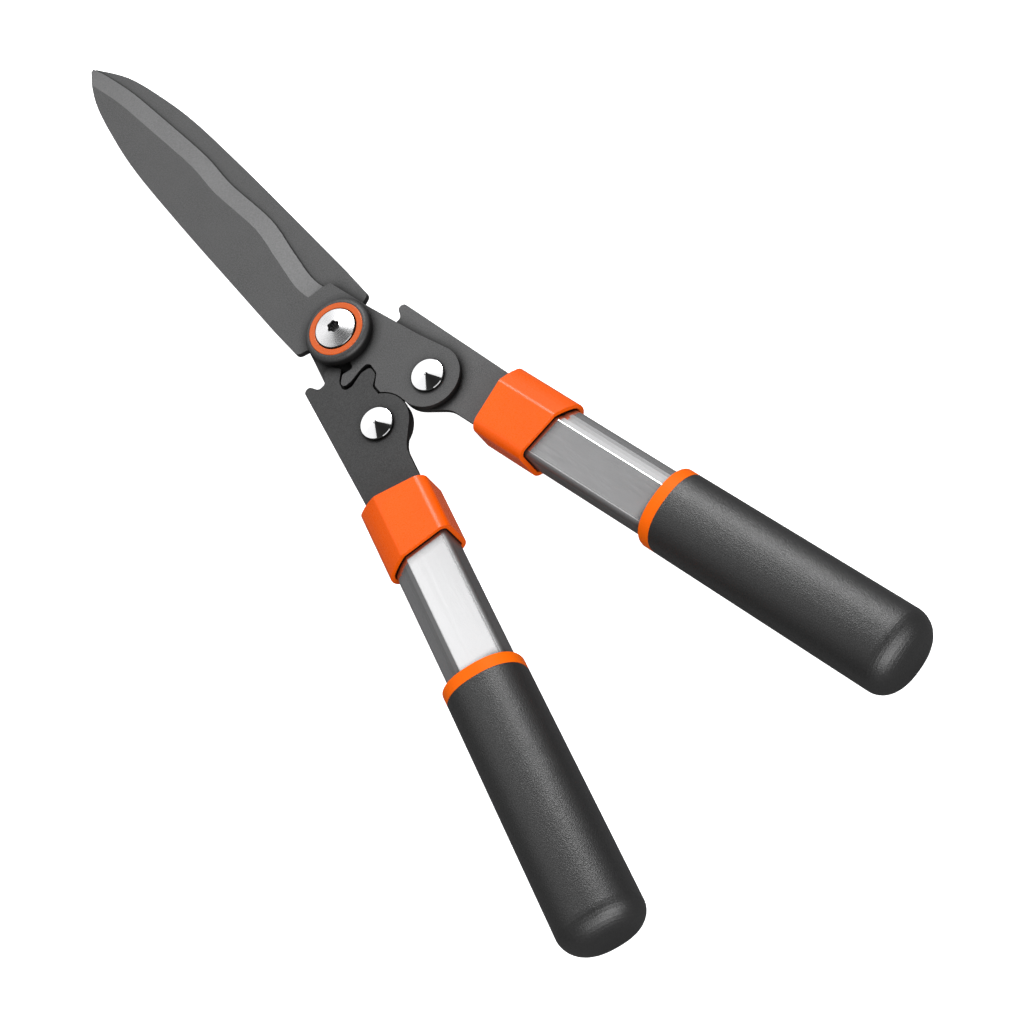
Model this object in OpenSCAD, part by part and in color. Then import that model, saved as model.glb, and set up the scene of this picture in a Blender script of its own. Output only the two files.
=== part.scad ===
// Hedge shears with geared handles: two crossing blades on one bolt, each blade's tail toothed
// into the handle of the other. +Y runs towards the blade tips, +Z out of the front face, and
// the origin is on the pivot axis, in the plane where the two blades slide on each other.

/* [Blades] */
// Distance from the pivot to the blade tips
blade_reach = 230; // [190:1:270]
// Width of the blade at its widest wave
blade_w = 34; // [30:0.5:38]
// Distance from the pivot to the start of the cutting edge
blade_root = 26.7; // [24:0.1:32]
// Thickness of the blade steel
blade_t = 3; // [2.4:0.1:4]
// Width of the sharpened bevel
bevel_w = 8.4; // [5:0.1:11]
// Steel left at the cutting edge
edge_t = 0.8; // [0.4:0.1:1.6]
// Gap between the sliding faces of the two blades
layer_gap = 0.1; // [0.06:0.02:0.3]
// Radius of the hub round the pivot hole
hub_r = 10.8; // [9.5:0.1:11]

/* [Gears] */
// Distance from the pivot to each handle pin
pin_reach = 53; // [50:0.5:60]
// Angle between the tool's axis and the line from the pivot to a handle pin
pin_angle = 17; // [16:0.5:19]
// Radius of the round eye at the end of a blade's tail
eye_r = 15.1; // [13:0.1:15.4]
// Clearance between the eye of one blade and the lobe of the other handle
eye_gap = 0.7; // [0.4:0.1:1.5]
// How much thinner the gear arms are than the blades
tang_relief = 0.2; // [0.1:0.05:0.4]

/* [Pivot] */
// Radius of the pivot bolt's shank
bolt_r = 5; // [4:0.5:6]
// Radius of the sleeve both blades turn on
bush_r = 7; // [6.6:0.1:8]
// Radius of the round boss on the front blade
boss_r = 16; // [15:0.1:18]
// Height of the boss
boss_h = 5.2; // [4:0.1:8]
// Radius of the boss's rounded rim
boss_round = 2.4; // [1:0.1:2.6]
// Depth of the recess in the boss
recess_depth = 1.85; // [1:0.05:3]
// Outer radius of the coloured ring
ring_r = 13.25; // [12.5:0.05:13.4]
// Thickness of the coloured ring
ring_t = 2.1; // [1.4:0.1:3]
// Radius of the bolt's coned head
head_r = 9.9; // [9:0.1:10.4]
// Height of the head's straight rim
head_rim = 2.7; // [2:0.1:4]
// Height of the cone's point above the rim
head_cone = 2.4; // [1:0.1:3]
// Mean radius of the lobed socket
socket_r = 2.9; // [2:0.1:3.2]
// Depth of the socket
socket_depth = 4.2; // [3:0.1:5]
// Radius of the rear washer
washer_r = 12; // [11:0.5:14]
// Thickness of the rear washer
washer_t = 1.5; // [1:0.1:2.5]
// Width of the nut across its flats
nut_w = 17; // [16:0.5:19]
// Height of the nut
nut_h = 9.4; // [7:0.1:12]

/* [Handle pins] */
// Radius of a handle pin's shank
pin_r = 4.5; // [3.5:0.1:5.5]
// Radius of a handle pin's head
pin_head_r = 7.9; // [7:0.1:9]
// Height of the head's straight rim
pin_rim = 1.3; // [0.8:0.1:2]
// Height of the head's cone above the rim
pin_cone = 2; // [0.6:0.1:2.4]

/* [Handles] */
// Angle between the tool's axis and each handle
handle_angle = 12.6; // [10:0.1:16]
// How much further out the left handle stands than that, and how much less the right one does
handle_lean = 1.2; // [0:0.1:2]
// How far the tube's centre line lies outside the handle pin
handle_offset = 7.3; // [5:0.1:9]
// Width of the tube
tube_w = 30; // [29:0.5:33]
// Depth of the tube
tube_d = 20; // [19:0.5:22]
// Wall of the tube
tube_wall = 1.6; // [1.2:0.1:2]
// Width of the tube's two outer chamfers, seen from the front
chamfer_w = 9.3; // [8:0.1:10]
// How far the chamfers fall back from the tube's faces
chamfer_d = 7.9; // [7:0.1:8.2]
// Radius of the tube's inner corners
tube_round = 2.6; // [2:0.1:4]
// Distance from the pin to the start of the tube
tube_start = 42.5; // [41:0.5:46]
// How far the tube ends in front of the grip's closed end
tube_inset = 13; // [10:0.5:30]
// Width of the gear arm where it enters the collar
neck_w = 27; // [25:0.5:27.5]
// Width of the gear arm's tongue inside the tube
tongue_w = 22; // [18:0.5:23]
// Distance from the pin to the end of the tongue
tongue_end = 72; // [68:1:78]

/* [Collars] */
// Distance from the pin to the collar's sloping front edge
collar_start = 37; // [34:0.5:38.5]
// Distance from the pin to the collar's rear rim
collar_end = 70.5; // [66:0.5:90]
// Wall of the collar
collar_wall = 2.1; // [1.6:0.1:3]
// Gap between the collar and the tube
collar_gap = 0.6; // [0.3:0.1:0.9]
// Slope of the collar's front and rear edges, which makes it longer on its outer side
collar_slope = 6; // [0:0.5:8]

/* [Grips] */
// Distance from the pin to the visible ring of the grip core
grip_start = 136.6; // [110:0.5:150]
// Length of the visible ring
flange_len = 5.5; // [4:0.5:10]
// Distance from the pin to the end of the grip
grip_end = 266.5; // [262:0.5:275]
// Width of the grip at its ring
grip_w = 37.2; // [36.5:0.1:42]
// Depth of the grip at its ring
grip_d = 33.6; // [32:0.1:38]
// How much wider and deeper the grip is at its far end
grip_flare = 1; // [0:0.1:2]
// How square the grip's section is: 2 is an ellipse, and more is squarer
grip_square = 2.3; // [2.2:0.05:2.8]
// Thickness of the rubber over the core
rubber_t = 1.2; // [0.8:0.1:1.3]
// Radius of the grip's rounded end, seen from the front
end_round = 12; // [9:0.5:14]
// Length of the grip's rounded end
end_len = 10; // [8:0.5:12]

/* [Hidden] */
$fn = 96;

// Clearance of a pin or sleeve in the hole that turns on it
run_fit = 0.05;
// Clearance between parts that are fixed face to face
seat_gap = 0.1;
// Overshoot of a cut past the face it opens
over = 1;
// Largest turn between two points of a rounded corner
arc_step = 5;
// Clearance between a blade's neck and the lobe of the other handle beside it
lobe_gap = 0.5;
// Clearance of the collar's slot round the gear arm
slot_gap = 0.3;
// Gap between the coloured ring and the bolt's head
ring_gap = 0.35;
// How far the gear arm's neck lies outside the handle pin
neck_shift = 6.7;
// How far the bolt's end lies inside the nut's rear face
bolt_short = 0.5;
// Height of the nut's chamfer
nut_chamfer = 2;
// Depth of the socket's lobes, as a part of its radius
lobe_depth = 0.12;
// Bevel of the front rims of the bolt and the handle pins, and of the pins' rear heads
pin_bevel = 0.3;
pin_rear_bevel = 0.7;
// How much of the insert reaches past the tongue
insert_past = 8;
// Rubber over the end of the grip's core
end_wall = 8;
// Rounding of the grip's end in its depth, as a part of end_round
end_depth = 0.9;
// Least radius of a corner of the tube's section when it is made smaller
least_round = 0.4;
// Turn between two sections of the grip's rounded end
end_step = 9;
// Radii of the tube's section: the chamfers' inner and outer edges, and their slight bulge
crease_round = 1.2;
side_round = 4.2;
bulge_round = 30;
// Height of that bulge
bulge = 0.7;
// How much further along the blade the bevel starts on its inner side
bevel_skew = 1.3;
// The step from the last section of the bevel to its end past the tip
bevel_tail = [-1, 3, 0];
// Rounding of the coloured ring's rims
ring_round = 0.4;
// Where the gear arm's neck leaves the lobe, as an angle from the line across the handle
neck_leave = 30;
// Radii of the gear arm's outline: the bend of its neck, its shoulders, and the tongue's corners
neck_bend = 12;
shoulder_round = 0.5;
tongue_root = 1;
tongue_tip = 2;
// How far inside the collar's front edge the gear arm narrows to its tongue
tongue_inset = 4.5;
// Length and end cap of the plug in the tube's end
plug_len = 12;
plug_cap = 2;
// Radius of the cross rivets, their distance behind the tube's start, and their spacing
rivet_r = 2.4;
rivet_inset = 9;
rivet_pitch = 11;

front_face = layer_gap / 2 + blade_t;
tang_t = blade_t - tang_relief;
left_pin = pin_reach * [-sin(pin_angle), -cos(pin_angle)];
right_pin = [-left_pin.x, left_pin.y];
lobe_r = 2 * right_pin.x - eye_r - eye_gap;
left_angle = handle_angle + handle_lean;
right_angle = handle_angle - handle_lean;
boss_z = front_face + seat_gap;
recess_z = boss_z + boss_h - recess_depth;
washer_z = -front_face - seat_gap;
nut_z = washer_z - washer_t;
bolt_end = nut_z - nut_h + bolt_short;
tube_hw = tube_w / 2;
tube_hd = tube_d / 2;
rivets = [for (i = [0, 1]) tube_start + rivet_inset + i * rivet_pitch];
tongue_start = collar_start + tongue_inset;
tube_end = grip_end - tube_inset;
core_end = grip_end - end_wall;

// The corners [x, y, radius] of a bulged chamfer, from the tube's side to its rear face, and the
// same turned over for its front face
chamfer_across = unit([-chamfer_d, -chamfer_w]);
chamfer_middle = [chamfer_w / 2 - tube_hw, chamfer_d / 2 - tube_hd] + bulge * chamfer_across;
rear_chamfer = [[-tube_hw, chamfer_d - tube_hd, side_round],
    [chamfer_middle.x, chamfer_middle.y, bulge_round],
    [chamfer_w - tube_hw, -tube_hd, crease_round]];
tube_corners = concat(rear_chamfer, [[tube_hw, -tube_hd, tube_round], [tube_hw, tube_hd, tube_round]],
    [for (i = [2 : -1 : 0]) [rear_chamfer[i].x, -rear_chamfer[i].y, rear_chamfer[i].z]]);

// The cutting edge and the spine, as [part of the way from root to tip, part of blade_w]
EDGE = [[0, 0.27], [0.055, 0.235], [0.15, 0.3], [0.26, 0.376], [0.42, 0.312], [0.535, 0.331],
    [0.695, 0.268], [0.845, 0.194], [0.95, 0.088], [1, 0.01]];
SPINE = [[0.995, -0.04], [0.9, -0.3], [0.78, -0.452], [0.647, -0.55], [0.46, -0.595],
    [0.24, -0.62], [0, -0.635]];

// The corners [x, y, radius] from the spine's end round the heel, measured from the spine's end
// as parts of blade_w
HEEL = [[0, 0, 0], [0.009, -0.544, 0.088], [0.153, -0.597, 0], [0.253, -0.685, 0]];

// The step from the cutting edge's start to the shoulder behind it, as parts of blade_w
SHOULDER = [0.094, -0.035];

// Gear outlines. Their frame has the pivot at its origin and the meshing handle pin at
// [0, -100], so the teeth keep their mesh at any pin_reach. Each corner is [x, y, radius].
TAIL_EDGE = [[30.1, 13.2, 113], [61.7, -40.3, 113]];
TAIL_TEETH = [[12.3, -72.4, 2.8], [10.1, -64.6, 5.7], [15.9, -53.9, 5.7], [13.3, -40.1, 4.5],
    [5, -42.3, 7.5], [-6.9, -48.3, 9.4], [-15, -50.2, 3.4], [-16.5, -45.3, 3.4],
    [-12, -38, 1.9], [-1.2, -37.4, 2.8], [-2.4, -24.4, 0]];
TANG_TEETH = [[-49.1, -34.7, 4.1], [-43.7, -31.1, 4.1], [-36.4, -39.5, 4.1], [-29.8, -37.5, 3.4],
    [-26.4, -25.8, 3], [-19.7, -24.6, 5.7], [-11.4, -31.9, 1.5], [-17.4, -43.2, 5.7],
    [-17, -54.1, 4.9], [-8.3, -53.4, 5.7], [3.2, -46, 7.5], [13, -45, 4.1],
    [14.4, -54.8, 5.7], [8.1, -63.8, 4.9], [10.2, -73.2, 4.9]];

function turn(p, a) = [p.x * cos(a) - p.y * sin(a), p.x * sin(a) + p.y * cos(a)];
function unit(v) = v / norm(v);

// A point of the blade's outline from its part of the length and part of the width
function on_blade(p) = [p.y * blade_w, blade_root + p.x * (blade_reach - blade_root)];

// A corner of a gear outline, moved from the gears' frame to the tool's
function in_mesh(c) = let (p = turn([c.x, c.y], -pin_angle) * pin_reach / 100)
    [p.x, p.y, c.z * pin_reach / 100];

// A corner given along a handle that stands at an angle on the left pin, moved to the tool's frame
function on_handle(angle, x, y, r = 0) = let (p = left_pin + turn([x, y], -angle)) [p.x, p.y, r];

// A smooth curve through the points p, with n steps between each two
function curve(p, n) = concat([for (i = [0 : len(p) - 2]) for (j = [0 : n - 1])
    curve_point(p[max(i - 1, 0)], p[i], p[i + 1], p[min(i + 2, len(p) - 1)], j / n)],
    [p[len(p) - 1]]);
function curve_point(a, b, c, d, t) = 0.5 * (2 * b + (c - a) * t
    + (2 * a - 5 * b + 4 * c - d) * t ^ 2 + (3 * b - a - 3 * c + d) * t ^ 3);

// The outline with the corners [x, y, radius], each rounded by an arc
function rounded(c) = [for (i = [0 : len(c) - 1])
    each corner_arc([c[i].x, c[i].y], c[(i + len(c) - 1) % len(c)], c[(i + 1) % len(c)], c[i].z)];
function corner_arc(p, before, after, r) = r == 0 ? [p] :
    let (a = unit([before.x, before.y] - p), b = unit([after.x, after.y] - p),
        half = acos(a * b) / 2,
        side = sign(a.x * b.y - a.y * b.x),
        centre = p + unit(a + b) * r / sin(half),
        first = p + a * r / tan(half) - centre,
        n = ceil((180 - 2 * half) / arc_step))
    [for (j = [0 : n]) centre + turn(first, -side * (180 - 2 * half) * j / n)];

// The grip's section, with the half axes a and b
function oval(a, b, n = 96) = [for (i = [0 : n - 1]) let (c = cos(360 * i / n), s = sin(360 * i / n))
    [a * sign(c) * abs(c) ^ (2 / grip_square), b * sign(s) * abs(s) ^ (2 / grip_square)]];

// The anticlockwise corners c, moved out by g from every side
function grown(c, g) = [for (i = [0 : len(c) - 1])
    grown_corner([c[i].x, c[i].y], c[(i + len(c) - 1) % len(c)], c[(i + 1) % len(c)], c[i].z, g)];
function grown_corner(p, before, after, r, g) =
    let (a = unit(p - [before.x, before.y]), b = unit([after.x, after.y] - p),
        q = p + g * [a.y + b.y, -a.x - b.x] / (1 + a * b))
    [q.x, q.y, max(r + g, least_round)];

// The tube's section, grown by g on every side: wide bulged chamfers outside, round corners inside
function tube_section(g) = rounded(grown(tube_corners, g));

// Puts a shape drawn on the tube's section along the left handle, between two distances
module along_handle(from, to) {
    translate([-handle_offset, -from, 0])
        rotate([90, 0, 0])
            linear_extrude(to - from)
                children();
}

// Places a part of a handle that stands at an angle on the left pin
module on_pin(angle) {
    translate(left_pin)
        rotate([0, 0, -angle])
            children();
}

// Places a part of the left handle, and the same part turned over as the right handle
module left_handle() {
    on_pin(left_angle)
        children();
}
module right_handle() {
    rotate([0, 180, 0])
        on_pin(right_angle)
            children();
}

// The blade's long part, from its tip to the heel and the shoulder behind the edge
module blade_outline() {
    spine_end = on_blade(SPINE[len(SPINE) - 1]);
    heel = [for (c = HEEL) concat(spine_end + blade_w * [c.x, c.y], blade_w * c.z)];
    polygon(concat(curve([for (p = EDGE) on_blade(p)], 6), curve([for (p = SPINE) on_blade(p)], 5),
        rounded(concat(heel, [[0, 0, 0]])), [on_blade(EDGE[0]) + blade_w * SHOULDER]));
}

// The tail behind the pivot, with teeth on one side, as far as the centre of its eye
module tail_outline() {
    polygon(rounded(concat([concat(on_blade(EDGE[0]) + blade_w * SHOULDER, 0)],
        [for (c = TAIL_EDGE) in_mesh(c)],
        [concat(right_pin + eye_r * [cos(pin_angle), sin(pin_angle)], 0),
        concat(right_pin, 0), [right_pin.x - eye_r, right_pin.y, 0]],
        [for (c = TAIL_TEETH) in_mesh(c)], [[0, 0, 0]])));
}

// The wedge that the bevel takes off the front face along the cutting edge
module bevel_cut() {
    slope = (blade_t - edge_t) / bevel_w;
    edge = curve([for (p = EDGE) on_blade(p)], 4);
    last = len(edge) - 1;
    sections = [for (i = [0 : last])
        let (e = edge[i], in = e - [bevel_w, i == 0 ? -bevel_skew : 0])
        each [[in.x - over, in.y, front_face + slope * over],
            [e.x + over, e.y, front_face - slope * (bevel_w + over)],
            [e.x + over, e.y, front_face + slope * over]]];
    tip = [for (k = [3 * last : 3 * last + 2]) sections[k] + bevel_tail];
    points = concat(sections, tip);
    n = last + 1;
    polyhedron(points, concat([[2, 1, 0], [3 * n, 3 * n + 1, 3 * n + 2]],
        [for (i = [0 : n - 1]) for (k = [0 : 2])
            [3 * i + (k + 1) % 3, 3 * i + 3 + (k + 1) % 3, 3 * i + 3 + k, 3 * i + k]]));
}

module blade() {
    difference() {
        translate([0, 0, layer_gap / 2]) {
            linear_extrude(blade_t)
                blade_outline();
            linear_extrude(blade_t)
                tail_outline();
            cylinder(r = hub_r, h = blade_t);
            translate(right_pin)
                cylinder(r = eye_r, h = blade_t);
        }
        bevel_cut();
        cylinder(r = bush_r + run_fit, h = 4 * blade_t, center = true);
        translate(left_pin)
            cylinder(r = lobe_r + lobe_gap, h = 4 * blade_t, center = true);
        translate(right_pin)
            cylinder(r = pin_r + run_fit, h = 4 * blade_t, center = true);
    }
}

module front_blade() {
    color("dimgray")
        blade();
}

module rear_blade() {
    color("gray")
        rotate([0, 180, 0])
            blade();
}

module pivot_bush() {
    color("silver")
        difference() {
            translate([0, 0, -front_face])
                cylinder(r = bush_r, h = boss_z + front_face);
            cylinder(r = bolt_r + run_fit, h = 8 * blade_t, center = true);
        }
}

module pivot_boss() {
    top = boss_z + boss_h;
    color("dimgray")
        rotate_extrude()
            polygon(rounded([[bolt_r + run_fit, boss_z, 0], [boss_r, boss_z, 0],
                [boss_r, top, boss_round], [ring_r + run_fit, top, 0],
                [ring_r + run_fit, recess_z, 0], [bolt_r + run_fit, recess_z, 0]]));
}

module pivot_ring() {
    color("orangered")
        rotate_extrude()
            polygon(rounded([[head_r + ring_gap, recess_z, 0], [ring_r, recess_z, 0],
                [ring_r, recess_z + ring_t, ring_round],
                [head_r + ring_gap, recess_z + ring_t, ring_round]]));
}

// A six-lobed socket
module socket() {
    polygon([for (a = [0 : 5 : 355]) socket_r * (1 + lobe_depth * cos(6 * a)) * [cos(a), sin(a)]]);
}

// A bolt with a low cone for a head, and the socket in place of the cone's point
module pivot_bolt() {
    rim = recess_z + head_rim;
    point = rim + head_cone;
    color("gainsboro")
        difference() {
            rotate_extrude()
                polygon([[0, bolt_end], [bolt_r, bolt_end], [bolt_r, recess_z], [head_r, recess_z],
                    [head_r, rim - pin_bevel], [head_r - pin_bevel, rim], [0, point]]);
            translate([0, 0, point - socket_depth])
                linear_extrude(socket_depth + over)
                    socket();
        }
}

module pivot_washer() {
    color("silver")
        translate([0, 0, nut_z])
            difference() {
                cylinder(r = washer_r, h = washer_t);
                translate([0, 0, -over])
                    cylinder(r = bolt_r + run_fit, h = washer_t + 2 * over);
            }
}

module pivot_nut() {
    color("silver")
        translate([0, 0, nut_z - nut_h])
            difference() {
                intersection() {
                    cylinder(r = nut_w / sqrt(3), h = nut_h, $fn = 6);
                    union() {
                        cylinder(r1 = nut_w / 2, r2 = nut_w / 2 + nut_chamfer, h = nut_chamfer);
                        translate([0, 0, nut_chamfer])
                            cylinder(r = nut_w, h = nut_h);
                    }
                }
                translate([0, 0, -over])
                    cylinder(r = bolt_r + run_fit, h = nut_h + 2 * over);
            }
}

// A rivet with a coned front head and a flat rear one
module handle_pin() {
    head_z = front_face + seat_gap;
    top = head_z + pin_rim;
    color("gainsboro")
        rotate_extrude()
            polygon([[0, -top], [pin_head_r - pin_rear_bevel, -top], [pin_head_r, pin_rear_bevel - top],
                [pin_head_r, -head_z], [pin_r, -head_z], [pin_r, head_z], [pin_head_r, head_z],
                [pin_head_r, top - pin_bevel], [pin_head_r - pin_bevel, top], [0, top + pin_cone]]);
}

module left_handle_pin() {
    translate(left_pin)
        handle_pin();
}

module right_handle_pin() {
    translate(right_pin)
        handle_pin();
}

// The gear arm of a handle that stands at an angle on the left pin, drawn in the tool's frame
module tang(angle) {
    neck_in = neck_w / 2 - neck_shift;
    neck_out = neck_in - neck_w;
    tongue_in = tongue_w / 2 - handle_offset;
    tongue_out = tongue_in - tongue_w;
    leave = lobe_r * [cos(neck_leave), -sin(neck_leave)];
    bend_y = leave.y - (leave.x - neck_in) / tan(neck_leave);
    outline = concat([for (c = TANG_TEETH) in_mesh(c)], [concat(left_pin, 0),
        on_handle(angle, leave.x, leave.y),
        on_handle(angle, neck_in, bend_y, neck_bend),
        on_handle(angle, neck_in, -tongue_start, shoulder_round),
        on_handle(angle, tongue_in, -tongue_start, tongue_root),
        on_handle(angle, tongue_in, -tongue_end, tongue_tip),
        on_handle(angle, tongue_out, -tongue_end, tongue_tip),
        on_handle(angle, tongue_out, -tongue_start, tongue_root),
        on_handle(angle, neck_out, -tongue_start, shoulder_round)]);
    color("dimgray")
        difference() {
            translate([0, 0, layer_gap / 2]) {
                linear_extrude(tang_t)
                    polygon(rounded(outline));
                translate(left_pin)
                    cylinder(r = lobe_r, h = tang_t);
            }
            translate(left_pin)
                cylinder(r = pin_r + run_fit, h = 4 * blade_t, center = true);
            on_pin(angle)
                rivet_shanks(run_fit, blade_t);
        }
}

module left_tang() {
    tang(left_angle);
}

module right_tang() {
    rotate([0, 180, 0])
        tang(right_angle);
}

// The shanks of the two cross rivets, grown by a clearance
module rivet_shanks(grow, half) {
    for (y = rivets)
        translate([-handle_offset, -y, 0])
            cylinder(r = rivet_r + grow, h = 2 * half + 2 * grow, center = true);
}

module tang_rivets() {
    color("silver")
        rivet_shanks(0, tube_hd);
}

module left_tang_rivets() {
    left_handle()
        tang_rivets();
}

module right_tang_rivets() {
    right_handle()
        tang_rivets();
}

module insert() {
    slot_z = -seat_gap + layer_gap / 2;
    color("darkslategray")
        difference() {
            along_handle(tube_start + seat_gap, tongue_end + insert_past)
                polygon(tube_section(-tube_wall - run_fit));
            along_handle(tube_start - over, tongue_end + seat_gap)
                translate([-tongue_w / 2 - seat_gap, slot_z])
                    square([tongue_w + 2 * seat_gap, tang_t + 2 * seat_gap]);
            rivet_shanks(run_fit, tube_d);
        }
}

module left_insert() {
    left_handle()
        insert();
}

module right_insert() {
    right_handle()
        insert();
}

module tube() {
    color("silver")
        difference() {
            along_handle(tube_start, tube_end)
                difference() {
                    polygon(tube_section(0));
                    polygon(tube_section(-tube_wall));
                }
            rivet_shanks(run_fit, tube_d);
        }
}

module left_tube() {
    left_handle()
        tube();
}

module right_tube() {
    right_handle()
        tube();
}

// A sleeve over the tube's end, closed in front but for the slot the gear arm comes through
module collar() {
    slot_w = neck_w + 2 * slot_gap;
    slot_x = handle_offset - neck_shift;
    color("darkorange")
        difference() {
            along_handle(collar_start - over, collar_end + collar_wall + over)
                polygon(tube_section(collar_gap + collar_wall));
            along_handle(tube_start - slot_gap, collar_end + collar_wall + 2 * over)
                polygon(tube_section(collar_gap));
            along_handle(0, collar_end)
                translate([slot_x - slot_w / 2, layer_gap / 2 - slot_gap])
                    square([slot_w, tang_t + 2 * slot_gap]);
            translate([-handle_offset - tube_hw, -collar_start, 0])
                rotate([0, 0, -collar_slope])
                    translate([-tube_w, 0, -tube_w])
                        cube([4 * tube_w, tube_w, 2 * tube_w]);
            translate([-handle_offset, -collar_end, 0])
                rotate([0, 0, collar_slope])
                    translate([-2 * tube_w, -tube_w, -tube_w])
                        cube([4 * tube_w, tube_w, 2 * tube_w]);
        }
}

module left_collar() {
    left_handle()
        collar();
}

module right_collar() {
    right_handle()
        collar();
}

// The hard core of the grip: its flange is the ring that shows in front of the rubber
module grip_core() {
    hw = grip_w / 2;
    hd = grip_d / 2;
    color("orange")
        difference() {
            union() {
                along_handle(grip_start, grip_start + flange_len)
                    polygon(oval(hw, hd));
                along_handle(grip_start, core_end)
                    polygon(oval(hw - rubber_t, hd - rubber_t));
            }
            along_handle(grip_start - over, tube_end + seat_gap)
                polygon(tube_section(seat_gap));
            along_handle(tube_end - over, tube_end + plug_cap + over)
                polygon(tube_section(seat_gap));
        }
}

module left_grip_core() {
    left_handle()
        grip_core();
}

module right_grip_core() {
    right_handle()
        grip_core();
}

// The rubber grip: an oval sleeve that flares a little and ends in a rounded closed end
module grip() {
    hw = grip_w / 2;
    hd = grip_d / 2;
    start = grip_start + flange_len + seat_gap;
    wide = grip_flare / 2;
    thin = 0.01;
    color([0.2, 0.2, 0.2])
        difference() {
            hull() {
                along_handle(start, start + thin)
                    polygon(oval(hw, hd));
                for (a = [0 : end_step : 90]) {
                    y = grip_end - end_len * (1 - sin(a));
                    in = end_round * (1 - cos(a));
                    along_handle(y - thin, y)
                        polygon(oval(hw + wide - in, hd + wide - end_depth * in));
                }
            }
            along_handle(start - over, core_end + seat_gap)
                polygon(oval(hw - rubber_t + run_fit, hd - rubber_t + run_fit));
        }
}

module left_grip() {
    left_handle()
        grip();
}

module right_grip() {
    right_handle()
        grip();
}

module tube_plug() {
    color("darkslategray") {
        along_handle(tube_end - plug_len, tube_end + plug_cap)
            polygon(tube_section(-tube_wall - run_fit));
        along_handle(tube_end + run_fit, tube_end + plug_cap)
            polygon(tube_section(-seat_gap));
    }
}

module left_tube_plug() {
    left_handle()
        tube_plug();
}

module right_tube_plug() {
    right_handle()
        tube_plug();
}

front_blade();
rear_blade();
pivot_bush();
pivot_boss();
pivot_ring();
pivot_bolt();
pivot_washer();
pivot_nut();
left_handle_pin();
right_handle_pin();
left_tang();
left_insert();
left_tang_rivets();
left_tube();
left_collar();
left_grip_core();
left_grip();
left_tube_plug();
right_tang();
right_insert();
right_tang_rivets();
right_tube();
right_collar();
right_grip_core();
right_grip();
right_tube_plug();
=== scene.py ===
import math

import bpy
from mathutils import Matrix, Vector


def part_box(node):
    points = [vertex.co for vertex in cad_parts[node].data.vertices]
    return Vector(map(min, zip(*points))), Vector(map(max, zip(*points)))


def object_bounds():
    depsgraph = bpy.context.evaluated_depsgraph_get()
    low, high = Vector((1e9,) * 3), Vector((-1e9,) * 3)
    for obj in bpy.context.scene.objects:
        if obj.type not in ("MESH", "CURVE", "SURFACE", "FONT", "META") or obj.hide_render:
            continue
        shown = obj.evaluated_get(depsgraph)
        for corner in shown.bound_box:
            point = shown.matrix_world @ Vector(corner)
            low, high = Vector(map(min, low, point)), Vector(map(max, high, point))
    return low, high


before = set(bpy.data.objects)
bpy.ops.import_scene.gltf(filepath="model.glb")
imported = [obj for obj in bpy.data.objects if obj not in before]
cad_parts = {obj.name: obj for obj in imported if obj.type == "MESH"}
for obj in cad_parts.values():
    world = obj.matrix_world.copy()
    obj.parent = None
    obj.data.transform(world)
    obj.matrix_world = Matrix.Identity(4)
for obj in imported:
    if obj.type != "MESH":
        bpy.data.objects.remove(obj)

cad_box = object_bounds()
MM = 0.001

# The camera: angles in degrees, its distance from what it looks at in metres, its lens in mm
CAMERA_AZIMUTH = -0.79
CAMERA_ELEVATION = 57.3
CAMERA_ROLL = -44.19
CAMERA_DISTANCE = 1.155
CAMERA_LENS = 95.02
SENSOR_WIDTH = 36
CLIP_END = 50
# Where it looks: X in metres, and how far from the blade tips as a part of the object's length
AIM_ACROSS = 1.16 * MM
AIM_ALONG = 0.6658

# The studio
WHITE = (1, 1, 1, 1)
FLOOR_SIZE = 12.0
FLOOR_GLOW = 1.0
FLOOR_CLOUD = 0.5
# How bright the floor is where the object reflects it
FLOOR_REFLECTED = 0.15
PANEL_HEIGHT = 1.9
# What the object reflects of the world, at each height from the horizon, 0, to overhead, 1
SKY = ((0.0, 0.07), (0.2, 0.18), (0.6, 0.24), (0.88, 0.18), (0.94, 0.03), (1.0, 0.02))
# The even light that the world sheds on it
AMBIENT = 0.5

# The sizes of fine surface detail
GRAIN = 0.5 * MM
STIPPLE = 0.5 * MM
FINE_STIPPLE = 0.2 * MM
BRUSH = 0.16 * MM
BRUSH_BANDS = 1.4 * MM
# How much longer brush lines are than they are wide
BRUSH_LENGTH = 60
# The same for the marks of grinding
MARK_LENGTH = 2
TURNING = 0.18 * MM
SPARK_TEXTURE = 0.28 * MM
ZINC_GRAIN = 0.3 * MM
POLISH_GRAIN = 0.2 * MM
# The sizes of slow changes over a surface
STEEL_CLOUD = 14 * MM
PLASTIC_CLOUD = 20 * MM
ZINC_CLOUD = 2.2 * MM
SMUDGE = 3 * MM

# A noise's values lie mostly in its middle, and a crisp cut of it has more contrast
MIDDLE = (0.3, 0.7)
CRISP = (0.35, 0.65)
# The part of the cells' distances that the rubber's stipple uses
CELL_BAND = (0.1, 0.6)
# How nearly level a surface is: from a cut edge to a face, from a rim to a face, and on a bevel
EDGE_TO_FACE = (0.1, 0.6)
RIM_TO_FACE = (0.78, 0.86)
BEVEL_LEVEL = 0.967
BEVEL_SPREAD = 0.012
# How far a tube's side faces inward: where its outward side gives way to its faces, where they
# give way to its inward side, and where that side gets rougher
OUTWARD_TO_FACE = (-0.9, -0.3)
FACE_TO_INWARD = (0.015, 0.15)
INWARD_ROUGHER = (0, 0.1)
# Painted shade in crevices: how far it reaches, how dark it is, and over which openness it fades
# away
CREVICE = 6 * MM
CREVICE_SHADE_TONE = 0.1
STEEL_CREVICE_SHADE = (0.6, 0.97)
TUBE_CREVICE_SHADE = (0.7, 0.95)

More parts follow.
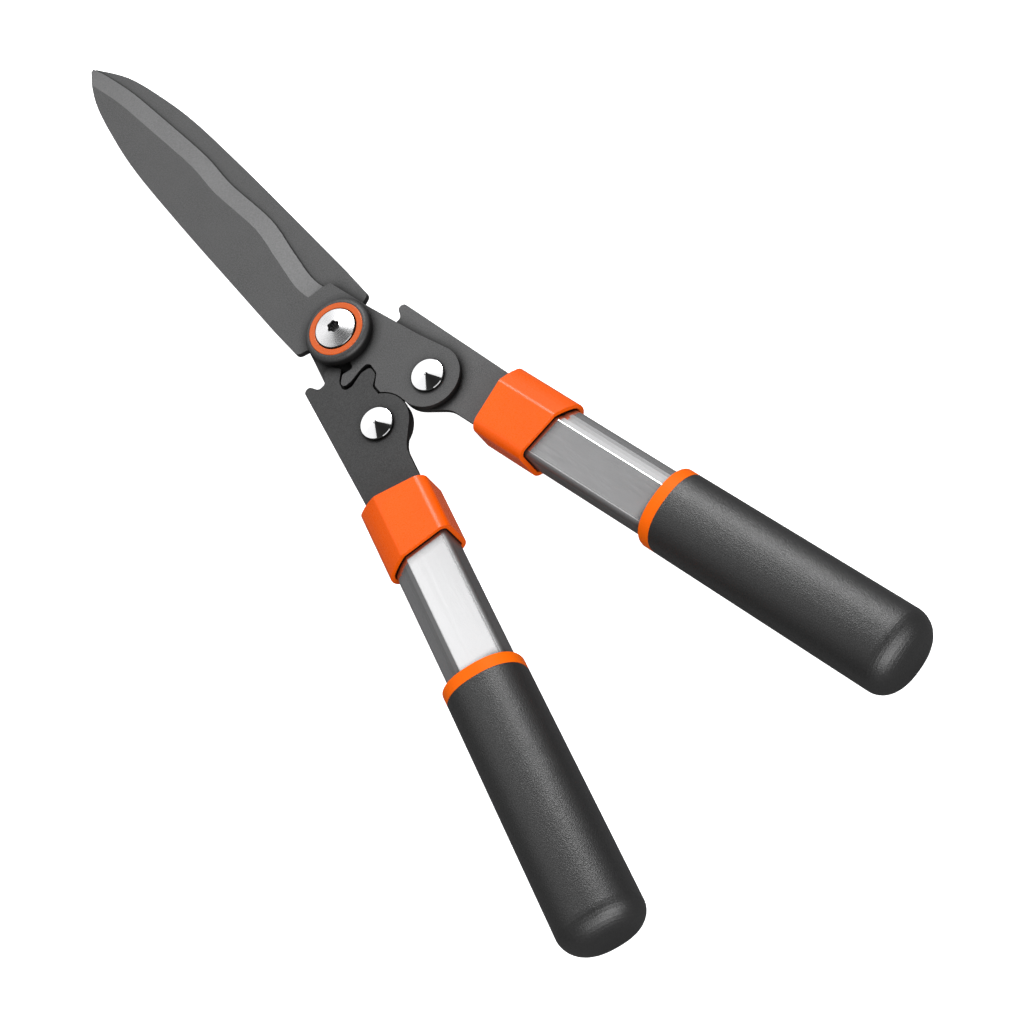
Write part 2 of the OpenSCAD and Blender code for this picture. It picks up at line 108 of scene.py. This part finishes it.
# How bright each surface is
BLADE_TONE = 0.085
BOSS_TONE = 0.07
PIN_TONE = 0.93
ZINC_TONE = 0.55
NUT_TONE = 0.5
RUBBER_TONE = 0.014
# Painted shade in the bolt's socket
SOCKET_SHADE_TONE = 0.2
# Painted shade on the rims of the bolt and the pins, in place of a lamp's reflection
RIM_SHADE_TONE = 0.16
# Painted shade on the sides of the tubes that face inward
INWARD_SHADE_TONE = 0.27

ORANGE = (0.94, 0.115, 0.0, 1)
DEEP_ORANGE = (0.90, 0.1, 0.0, 1)
RING_ORANGE = (0.62, 0.1, 0.01, 1)
GRIP_ORANGE = (0.95, 0.15, 0.0, 1)
BLACK = (0.02, 0.02, 0.021, 1)

# Each handle: how bright its tube, the outward side of its tube and its tang are, and which way
# along X is inward. These tones are painted light and shade: the left handle's tube, outward
# side and tang are painted darker than the right's, and each outward side is painted shade
HANDLES = {
    "left": {"tube": 0.92, "outer": 0.5, "tang": 0.048, "inward": 1},
    "right": {"tube": 0.98, "outer": 0.62, "tang": 0.1, "inward": -1},
}

# The bolt's socket: within which radius it is darkened with painted shade, and how far below the
# bolt's top
SOCKET_RADIUS = 3.0 * MM
SOCKET_LIP = 0.8 * MM

# How edges are softened: the rounding's width, and the least angle of an edge in degrees
STEEL_ROUND = 0.35 * MM
TUBE_ROUND = 0.5 * MM
COLLAR_ROUND = 1.6 * MM
SHARP_ANGLE = 28
# Points closer than this are one, and faces flatter than this, in degrees, are one
WELD_GAP = 0.002 * MM
FLAT_ANGLE = 0.4


# ---- node helpers ----

class Material:
    """A material whose nodes are added one call at a time."""

    def __init__(self, name):
        self.material = bpy.data.materials.new(name)
        self.material.use_nodes = True
        self.tree = self.material.node_tree
        self.shader = self.tree.nodes["Principled BSDF"]
        self.coords = self.node("ShaderNodeTexCoord").outputs["Object"]

    def node(self, kind, **settings):
        made = self.tree.nodes.new(kind)
        for key, value in settings.items():
            setattr(made, key, value)
        return made

    def plug(self, value, socket):
        """Links an output to a socket, or sets the socket to a value"""
        if hasattr(value, "is_linked"):
            self.tree.links.new(value, socket)
        else:
            socket.default_value = value

    def set(self, **values):
        """Plugs values into the shader's sockets, with _ for a space in their names"""
        for key, value in values.items():
            self.plug(value, self.shader.inputs[key.replace("_", " ")])

    def math(self, operation, *values):
        made = self.node("ShaderNodeMath", operation=operation)
        for value, socket in zip(values, made.inputs):
            self.plug(value, socket)
        return made.outputs[0]

    def blend(self, first, second, share):
        """The first value's share, and the rest from the second"""
        return self.math("ADD", self.math("MULTIPLY", first, share),
                         self.math("MULTIPLY", second, 1 - share))

    def span(self, value, band, low=0.0, high=1.0):
        """value, remapped from a band to low..high and kept within it"""
        made = self.node("ShaderNodeMapRange")
        for item, socket in zip((value, *band, low, high), made.inputs):
            self.plug(item, socket)
        return made.outputs[0]

    def mix(self, factor, first, second):
        made = self.node("ShaderNodeMix", data_type="RGBA")
        self.plug(factor, made.inputs[0])
        self.plug(first, made.inputs[6])
        self.plug(second, made.inputs[7])
        return made.outputs[2]

    def greys(self, factor, tone, low, high):
        """A grey between two parts of a tone"""
        return self.mix(factor, grey(tone * low), grey(tone * high))

    def noise(self, size, detail=2, coords=None):
        made = self.node("ShaderNodeTexNoise")
        made.inputs["Scale"].default_value = 1 / size
        made.inputs["Detail"].default_value = detail
        self.plug(self.coords if coords is None else coords, made.inputs["Vector"])
        return made.outputs["Fac"]

    def cells(self, size):
        """Soft round cells"""
        made = self.node("ShaderNodeTexVoronoi", feature="SMOOTH_F1")
        made.inputs["Scale"].default_value = 1 / size
        made.inputs["Smoothness"].default_value = 0.6
        self.plug(self.coords, made.inputs["Vector"])
        return made.outputs["Distance"]

    def turned(self, angle, stretch):
        """Object coordinates turned about Z, then scaled"""
        turn = self.node("ShaderNodeVectorRotate", rotation_type="Z_AXIS")
        self.plug(self.coords, turn.inputs["Vector"])
        turn.inputs["Angle"].default_value = angle
        scaled = self.node("ShaderNodeVectorMath", operation="MULTIPLY")
        self.plug(turn.outputs[0], scaled.inputs[0])
        scaled.inputs[1].default_value = stretch
        return scaled.outputs[0]

    def axes(self, vector):
        """The X, Y and Z of a vector"""
        split = self.node("ShaderNodeSeparateXYZ")
        self.plug(vector, split.inputs[0])
        return split.outputs

    def normal(self, kind):
        """The X, Y and Z of the surface's Normal or True Normal"""
        return self.axes(self.node("ShaderNodeNewGeometry").outputs[kind])

    def level(self):
        """How nearly level the surface is, from 0 to 1"""
        return self.math("ABSOLUTE", self.normal("True Normal")["Z"])

    def radius(self, place):
        """How far a place, given by its axes, is from the Z axis"""
        flat = self.node("ShaderNodeCombineXYZ")
        self.plug(place["X"], flat.inputs["X"])
        self.plug(place["Y"], flat.inputs["Y"])
        length = self.node("ShaderNodeVectorMath", operation="LENGTH")
        self.plug(flat.outputs[0], length.inputs[0])
        return length.outputs["Value"]

    def painted_crevice_shade(self, colour, tone, band):
        """colour, with painted shade far darker than the tone where something near closes the
        surface in
        """
        near = self.node("ShaderNodeAmbientOcclusion", samples=8)
        near.inputs["Distance"].default_value = CREVICE
        openness = self.span(near.outputs["AO"], band)
        return self.mix(openness, grey(tone * CREVICE_SHADE_TONE), colour)

    def rim_painted_shade(self, colour):
        """colour on the top of a pin or bolt, and a dull grey of painted shade on its rim"""
        return self.mix(self.span(self.level(), RIM_TO_FACE), grey(RIM_SHADE_TONE), colour)

    def bump(self, height, depth, strength):
        made = self.node("ShaderNodeBump")
        made.inputs["Strength"].default_value = strength
        made.inputs["Distance"].default_value = depth
        self.plug(height, made.inputs["Height"])
        self.plug(made.outputs[0], self.shader.inputs["Normal"])


def grey(value):
    """A grey with a trace of blue"""
    return (value, value, value * 1.01, 1)


def choose(tree, factor, first, second):
    """The first shader where the factor is 0, and the second where it is 1"""
    made = tree.nodes.new("ShaderNodeMixShader")
    for item, socket in zip((factor, first, second), made.inputs):
        tree.links.new(item, socket)
    return made.outputs[0]


# ---- materials ----

def coated_steel(name, tone, ground=False):
    """Dark coated steel with a fine blasted grain, with painted shade in crevices and on its cut
    edges, and lighter where the bevel is ground"""
    m = Material(name)
    grain = m.noise(GRAIN, detail=3)
    clouds = m.span(m.noise(STEEL_CLOUD), MIDDLE, high=0.35)
    flecks = m.greys(m.span(grain, CRISP), tone, low=0.66, high=1.3)
    colour = m.mix(clouds, flecks, grey(tone * 1.15))
    level = m.level()
    # Painted shade: the upright cut edges are darkened to a third of the tone
    colour = m.mix(m.span(level, EDGE_TO_FACE), grey(tone * 0.3), colour)
    if ground:
        # Grinding marks lie across the blade, and are longer than they are wide
        across = m.turned(0, (1 / MARK_LENGTH, 1, 1))
        marks = m.noise(GRAIN, detail=3, coords=across)
        bright = m.greys(m.span(marks, MIDDLE), tone, low=1.15, high=1.55)
        bevel = m.math("COMPARE", level, BEVEL_LEVEL, BEVEL_SPREAD)
        colour = m.mix(bevel, colour, bright)
    # Painted shade in crevices, where other parts close the surface in
    m.set(Base_Color=m.painted_crevice_shade(colour, tone, STEEL_CREVICE_SHADE),
          Roughness=m.span(grain, MIDDLE, low=0.42, high=0.56), Metallic=0.35)
    m.bump(grain, depth=0.05 * MM, strength=0.7)
    return m.material


def polished_steel(name):
    """Polished steel with a few smudges and a dull rim"""
    m = Material(name)
    smudge = m.noise(SMUDGE, detail=4)
    face = m.greys(smudge, PIN_TONE, low=0.94, high=1)
    # Painted shade on the rim
    m.set(Base_Color=m.rim_painted_shade(face), Metallic=1.0,
          Roughness=m.span(smudge, MIDDLE, low=0.0375, high=0.0675))
    m.bump(m.noise(POLISH_GRAIN), depth=0.002 * MM, strength=0.4)
    return m.material


def turned_steel(name, socket_top, socket_radius):
    """The bolt's head, turned in fine rings, with painted shade on its rim, a dull grey, and in
    its socket, which is darkened
    """
    m = Material(name)
    place = m.axes(m.coords)
    radius = m.radius(place)
    ring = m.node("ShaderNodeCombineXYZ")
    m.plug(radius, ring.inputs["X"])
    rings = m.noise(TURNING, detail=3, coords=ring.outputs[0])
    # Painted shade in the socket, a recess
    socket_shade = m.math("MULTIPLY", m.math("LESS_THAN", radius, socket_radius),
                    m.math("LESS_THAN", place["Z"], socket_top))
    face = m.greys(m.span(rings, MIDDLE), 1, low=0.78, high=0.9)
    m.set(Base_Color=m.mix(socket_shade, m.rim_painted_shade(face), grey(SOCKET_SHADE_TONE)), Metallic=1.0,
          Roughness=m.span(rings, MIDDLE, low=0.22, high=0.3))
    m.bump(rings, depth=0.006 * MM, strength=0.6)
    return m.material


def satin_steel(name, tone=ZINC_TONE):
    """Zinc-plated steel"""
    m = Material(name)
    cloud = m.noise(ZINC_CLOUD, detail=5)
    m.set(Base_Color=m.greys(cloud, tone, low=0.8, high=1.1), Metallic=1.0,
          Roughness=m.span(cloud, MIDDLE, low=0.28, high=0.42))
    m.bump(m.noise(ZINC_GRAIN, detail=3), depth=0.006 * MM, strength=0.5)
    return m.material


def moulded_plastic(name, colour, deep, rough, gloss=0.5):
    """Satin moulded plastic with a fine spark-eroded texture"""
    m = Material(name)
    texture = m.noise(SPARK_TEXTURE, detail=3)
    clouds = m.span(m.noise(PLASTIC_CLOUD), MIDDLE, high=0.5)
    m.set(Base_Color=m.mix(clouds, colour, deep),
          Roughness=m.span(texture, MIDDLE, low=rough - 0.05, high=rough + 0.06))
    m.shader.inputs["Specular IOR Level"].default_value = gloss
    m.bump(texture, depth=0.01 * MM, strength=0.5)
    return m.material


def brushed_aluminium(name, tone, outward_shade_tone, angle, inward):
    """Anodised tube, brushed along its length, with a rougher side that faces inward, which is 1
    or -1 along X, painted shade on that side, painted shade of a tone of its own on the side
    that faces outward, and painted shade in crevices"""
    m = Material(name)
    brushed = m.turned(angle, (1 / BRUSH_LENGTH, 1, 1))
    lines = m.noise(BRUSH, detail=3, coords=brushed)
    bands = m.noise(BRUSH_BANDS, coords=brushed)
    streaks = m.blend(lines, bands, share=0.65)
    facing = m.math("MULTIPLY", m.normal("Normal")["X"], inward)
    colour = m.greys(m.span(streaks, CRISP), tone, low=0.93, high=1)
    # Painted shade on the side that faces outward
    colour = m.mix(m.span(facing, OUTWARD_TO_FACE, low=1, high=0), colour, grey(outward_shade_tone))
    # Painted shade on the side that faces inward
    colour = m.mix(m.span(facing, FACE_TO_INWARD), colour, grey(INWARD_SHADE_TONE))
    rough = m.math("ADD", m.span(lines, MIDDLE, low=0.13, high=0.18),
                   m.span(facing, INWARD_ROUGHER, high=0.35))
    # Painted shade in crevices
    m.set(Base_Color=m.painted_crevice_shade(colour, tone, TUBE_CREVICE_SHADE), Roughness=rough, Metallic=0.9)
    m.bump(lines, depth=0.002 * MM, strength=0.5)
    return m.material


def grained_rubber(name):
    """Soft dark rubber with a fine stipple"""
    m = Material(name)
    cell = m.cells(STIPPLE)
    fine = m.noise(FINE_STIPPLE, detail=3)
    relief = m.blend(cell, fine, share=0.55)
    m.set(Base_Color=m.greys(m.span(cell, CELL_BAND), RUBBER_TONE, low=0.86, high=1.12),
          Roughness=m.span(fine, MIDDLE, low=0.33, high=0.46))
    m.shader.inputs["Specular IOR Level"].default_value = 0.95
    m.bump(relief, depth=0.16 * MM, strength=0.9)
    return m.material


def pale_floor():
    """A white floor, which the object reflects as a darker one"""
    m = Material("floor")
    m.set(Base_Color=m.mix(m.noise(FLOOR_CLOUD), grey(0.94), grey(0.96)), Roughness=0.9)
    m.shader.inputs["Emission Color"].default_value = WHITE
    m.shader.inputs["Emission Strength"].default_value = FLOOR_GLOW
    dim = m.node("ShaderNodeBsdfDiffuse")
    dim.inputs["Color"].default_value = grey(FLOOR_REFLECTED)
    seen = m.node("ShaderNodeLightPath").outputs["Is Camera Ray"]
    shown = choose(m.tree, seen, dim.outputs[0], m.shader.outputs[0])
    m.plug(shown, m.tree.nodes["Material Output"].inputs["Surface"])
    return m.material


# ---- the object ----

def paint(node, material):
    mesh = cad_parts[node].data
    mesh.materials.clear()
    mesh.materials.append(material)


def soften(node, width, segments=2):
    """Rounds a CAD node's sharp edges a little, with modifiers alone"""
    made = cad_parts[node]
    weld = made.modifiers.new("weld", "WELD")
    weld.merge_threshold = WELD_GAP
    flat = made.modifiers.new("flat", "DECIMATE")
    flat.decimate_type = "DISSOLVE"
    flat.angle_limit = math.radians(FLAT_ANGLE)
    edge = made.modifiers.new("edge", "BEVEL")
    edge.width = width
    edge.segments = segments
    edge.limit_method = "ANGLE"
    edge.angle_limit = math.radians(SHARP_ANGLE)
    edge.use_clamp_overlap = True


def centre(node):
    low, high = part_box(node)
    return (Vector(low) + Vector(high)) / 2


def handle_angle(side):
    """How far a handle's length is turned from the X axis, about Z"""
    along = centre(side + "_grip") - centre(side + "_collar")
    return math.atan2(along.y, along.x)


def dress_blades():
    for node in ("front_blade", "rear_blade"):
        paint(node, coated_steel(node, BLADE_TONE, ground=True))
        soften(node, STEEL_ROUND)


def dress_pivot():
    bolt_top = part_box("pivot_bolt")[1][2]
    paint("pivot_boss", coated_steel("pivot_boss", BOSS_TONE))
    paint("pivot_bush", satin_steel("pivot_bush"))
    paint("pivot_ring", moulded_plastic("pivot_ring", RING_ORANGE, RING_ORANGE, rough=0.25))
    paint("pivot_bolt", turned_steel("pivot_bolt", bolt_top - SOCKET_LIP, SOCKET_RADIUS))
    paint("pivot_washer", satin_steel("pivot_washer"))
    paint("pivot_nut", satin_steel("pivot_nut", NUT_TONE))


def dress_handle(side, looks):
    pin, tang, insert = side + "_handle_pin", side + "_tang", side + "_insert"
    rivets, tube, collar = side + "_tang_rivets", side + "_tube", side + "_collar"
    core, grip, plug = side + "_grip_core", side + "_grip", side + "_tube_plug"
    paint(pin, polished_steel(pin))
    paint(tang, coated_steel(tang, looks["tang"]))
    paint(insert, moulded_plastic(insert, BLACK, BLACK, rough=0.5))
    paint(rivets, satin_steel(rivets))
    paint(tube, brushed_aluminium(tube, looks["tube"], looks["outer"],
                                  -handle_angle(side), looks["inward"]))
    paint(collar, moulded_plastic(collar, ORANGE, DEEP_ORANGE, rough=0.28, gloss=0.36))
    paint(core, moulded_plastic(core, GRIP_ORANGE, ORANGE, rough=0.5, gloss=0.12))
    paint(grip, grained_rubber(grip))
    paint(plug, moulded_plastic(plug, BLACK, BLACK, rough=0.5))
    soften(tang, STEEL_ROUND)
    soften(collar, COLLAR_ROUND, segments=4)
    soften(tube, TUBE_ROUND)


# ---- the studio ----

def add_floor(height):
    half = FLOOR_SIZE / 2
    mesh = bpy.data.meshes.new("floor")
    corners = [(-half, -half), (half, -half), (half, half), (-half, half)]
    mesh.from_pydata([(x, y, height) for x, y in corners], [], [(0, 1, 2, 3)])
    mesh.materials.append(pale_floor())
    floor = bpy.data.objects.new("floor", mesh)
    bpy.context.scene.collection.objects.link(floor)


def add_light(name, place, aim, size, glow):
    """A softbox at a place, facing what it aims at. Its glow is how bright its face looks."""
    light = bpy.data.lights.new(name, "AREA")
    light.shape = "RECTANGLE"
    light.size, light.size_y = size
    light.energy = glow * math.pi * size[0] * size[1]
    lamp = bpy.data.objects.new(name, light)
    lamp.location = place
    lamp.rotation_euler = (Vector(aim) - Vector(place)).to_track_quat("-Z", "Y").to_euler()
    bpy.context.scene.collection.objects.link(lamp)


def add_panel(name, across, along, glow):
    """A softbox that faces straight down, between two values of X and two of Y"""
    place = Vector((sum(across) / 2, sum(along) / 2, PANEL_HEIGHT))
    size = (across[1] - across[0], along[1] - along[0])
    add_light(name, place, place - Vector((0, 0, 1)), size, glow)


def add_lights(target):
    """Panels overhead, with dark bays between them that the right tube and the pins reflect, and
    three softboxes that face the object"""
    add_panel("far_panel", across=(-1.6, 1.6), along=(1.7, 5.0), glow=1.0)
    add_panel("left_panel", across=(-0.36, -0.07), along=(0.5, 1.7), glow=0.95)
    add_panel("left_wing", across=(-1.6, -0.8), along=(0.8, 1.7), glow=0.85)
    add_panel("left_front", across=(-1.6, -0.6), along=(0.35, 0.8), glow=0.85)
    add_panel("right_wing", across=(0.76, 1.6), along=(0.72, 1.7), glow=1.0)
    add_panel("right_front", across=(0.48, 1.6), along=(0.27, 0.72), glow=1.0)
    add_light("key", place=(1.05, 1.1, 1.6), aim=target, size=(0.9, 0.9), glow=9)
    add_light("low", place=(1.3, 1.3, 0.35), aim=target, size=(1.6, 0.9), glow=0.62)
    add_light("fill", place=(0.1, -1.7, 0.9), aim=target, size=(1.6, 1.2), glow=4)


def add_camera(target):
    azimuth, elevation = math.radians(CAMERA_AZIMUTH), math.radians(CAMERA_ELEVATION)
    roll = math.radians(CAMERA_ROLL)
    forward = Vector((math.sin(azimuth) * math.cos(elevation),
                      math.cos(azimuth) * math.cos(elevation), -math.sin(elevation)))
    level = Vector((math.cos(azimuth), -math.sin(azimuth), 0))
    upright = level.cross(forward)
    right = math.cos(roll) * level + math.sin(roll) * upright
    up = -math.sin(roll) * level + math.cos(roll) * upright
    lens = bpy.data.cameras.new("camera")
    lens.lens = CAMERA_LENS
    lens.sensor_width = SENSOR_WIDTH
    lens.clip_end = CLIP_END
    camera = bpy.data.objects.new("camera", lens)
    turn = Matrix((right, up, -forward)).transposed()
    camera.matrix_world = Matrix.Translation(target - CAMERA_DISTANCE * forward) @ turn.to_4x4()
    bpy.context.scene.collection.objects.link(camera)
    bpy.context.scene.camera = camera


def plain_light(tree, strength):
    """White light of one strength all round"""
    made = tree.nodes.new("ShaderNodeBackground")
    made.inputs["Color"].default_value = WHITE
    made.inputs["Strength"].default_value = strength
    return made.outputs[0]


def sky_light(tree):
    """Light that changes with the height above the horizon, as SKY says"""
    ramp = tree.nodes.new("ShaderNodeValToRGB")
    ramp.color_ramp.interpolation = "EASE"
    stops = ramp.color_ramp.elements
    while len(stops) < len(SKY):
        stops.new(0.5)
    for stop, (height, light) in zip(stops, SKY):
        stop.position = height
        stop.color = (light, light, light, 1)
    axes = tree.nodes.new("ShaderNodeSeparateXYZ")
    sky = tree.nodes["Background"]
    tree.links.new(tree.nodes.new("ShaderNodeTexCoord").outputs["Generated"], axes.inputs[0])
    tree.links.new(axes.outputs["Z"], ramp.inputs[0])
    tree.links.new(ramp.outputs[0], sky.inputs["Color"])
    return sky.outputs[0]


def add_world():
    """White where the camera sees it, a plain even light on what is matt, and the sky where the
    object reflects it"""
    world = bpy.data.worlds.new("studio")
    world.use_nodes = True
    tree = world.node_tree
    rays = tree.nodes.new("ShaderNodeLightPath").outputs
    lit = choose(tree, rays["Is Diffuse Ray"], sky_light(tree), plain_light(tree, AMBIENT))
    shown = choose(tree, rays["Is Camera Ray"], lit, plain_light(tree, 1))
    tree.links.new(shown, tree.nodes["World Output"].inputs["Surface"])
    bpy.context.scene.world = world


# ---- making it ----

dress_blades()
dress_pivot()
for side, looks in HANDLES.items():
    dress_handle(side, looks)

low, high = cad_box
length = high[1] - low[1]
target = Vector((AIM_ACROSS, high[1] - AIM_ALONG * length, 0))
add_floor(low[2])
add_camera(target)
add_lights(target)
add_world()
bpy.context.scene.view_settings.view_transform = "Standard"
